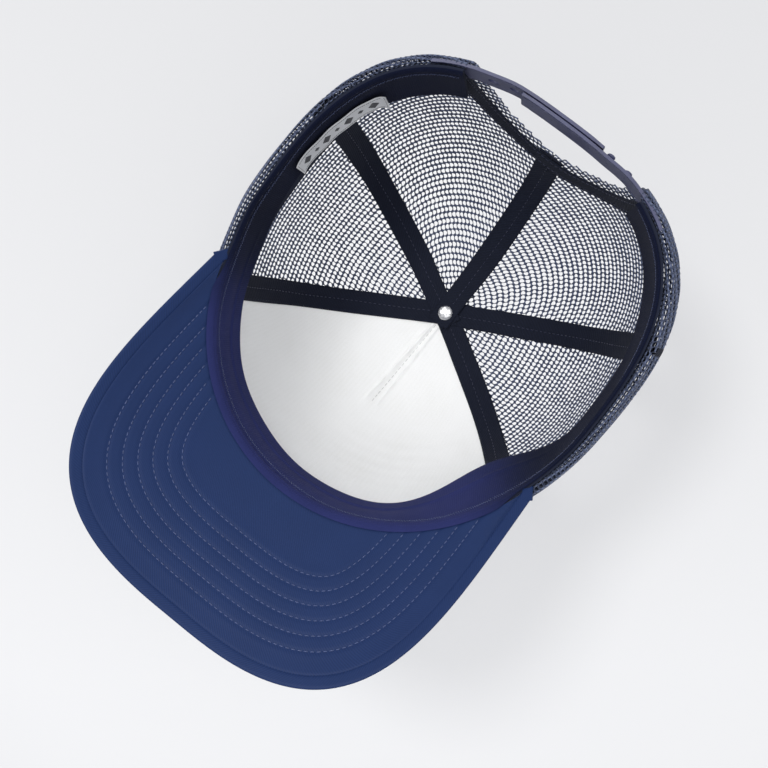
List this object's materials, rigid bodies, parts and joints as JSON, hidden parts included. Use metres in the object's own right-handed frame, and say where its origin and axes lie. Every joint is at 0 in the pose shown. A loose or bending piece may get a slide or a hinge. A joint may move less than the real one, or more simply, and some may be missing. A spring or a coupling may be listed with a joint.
{
  "type": "trucker cap",
  "caption": "Foam-front trucker cap with a mesh back, a curved stitched visor, an inner sweatband and a plastic snap strap across the rear opening.",
  "frame": {"origin": "middle of the head opening, level with the rim at the back", "axes": "+Z out of the crown, -Y towards the visor, +X towards the wearer's left"},
  "size_m": [0.181, 0.2499, 0.1849],
  "materials": {
    "front_fabric": "fine white knit",
    "foam": "white laminated foam",
    "mesh": "navy nylon mesh",
    "tape": "navy twill tape",
    "sweatband": "navy brushed cotton",
    "band_backing": "non-woven interlining",
    "label": "grey-white damask weave",
    "visor_fabric": "navy twill",
    "visor_board": "moulded sheet",
    "snap_plastic": "satin navy",
    "button_fabric": "navy twill",
    "button_steel": "pressed sheet",
    "button_silver": "satin silver"
  },
  "bodies": {
    "cap": {"front_panel_face": "front_fabric", "front_panel_foam": "foam", "mesh_front_left": "mesh", "mesh_rear_left": "mesh", "mesh_rear_right": "mesh", "mesh_front_right": "mesh", "seam_tape_front_left": "tape", "seam_tape_rear_left": "tape", "seam_tape_back": "tape", "seam_tape_rear_right": "tape", "seam_tape_front_right": "tape", "arch_tape": "tape", "sweatband_face": "sweatband", "sweatband_backing": "band_backing", "woven_label": "label", "visor_top_cover": "visor_fabric", "visor_board": "visor_board", "visor_under_cover": "visor_fabric", "hole_strap_tab": "snap_plastic", "peg_strap_tab": "snap_plastic", "button_cover": "button_fabric", "button_shell": "button_steel", "button_post": "button_steel", "button_backing": "button_silver"},
    "hole_strap": {"hole_strap": "snap_plastic"},
    "peg_strap": {"peg_strap": "snap_plastic"}
  },
  "joints": [
    {"name": "hole_strap_flex", "type": "hinge", "parent": "cap", "child": "hole_strap", "pos_m": [0.039, 0.0918, 0.01], "axis": [0, 0, -1], "range_deg": [0, 60]},
    {"name": "peg_strap_flex", "type": "hinge", "parent": "cap", "child": "peg_strap", "pos_m": [-0.039, 0.0918, 0.01], "axis": [0, 0, -1], "range_deg": [0, 30]}
  ]
}
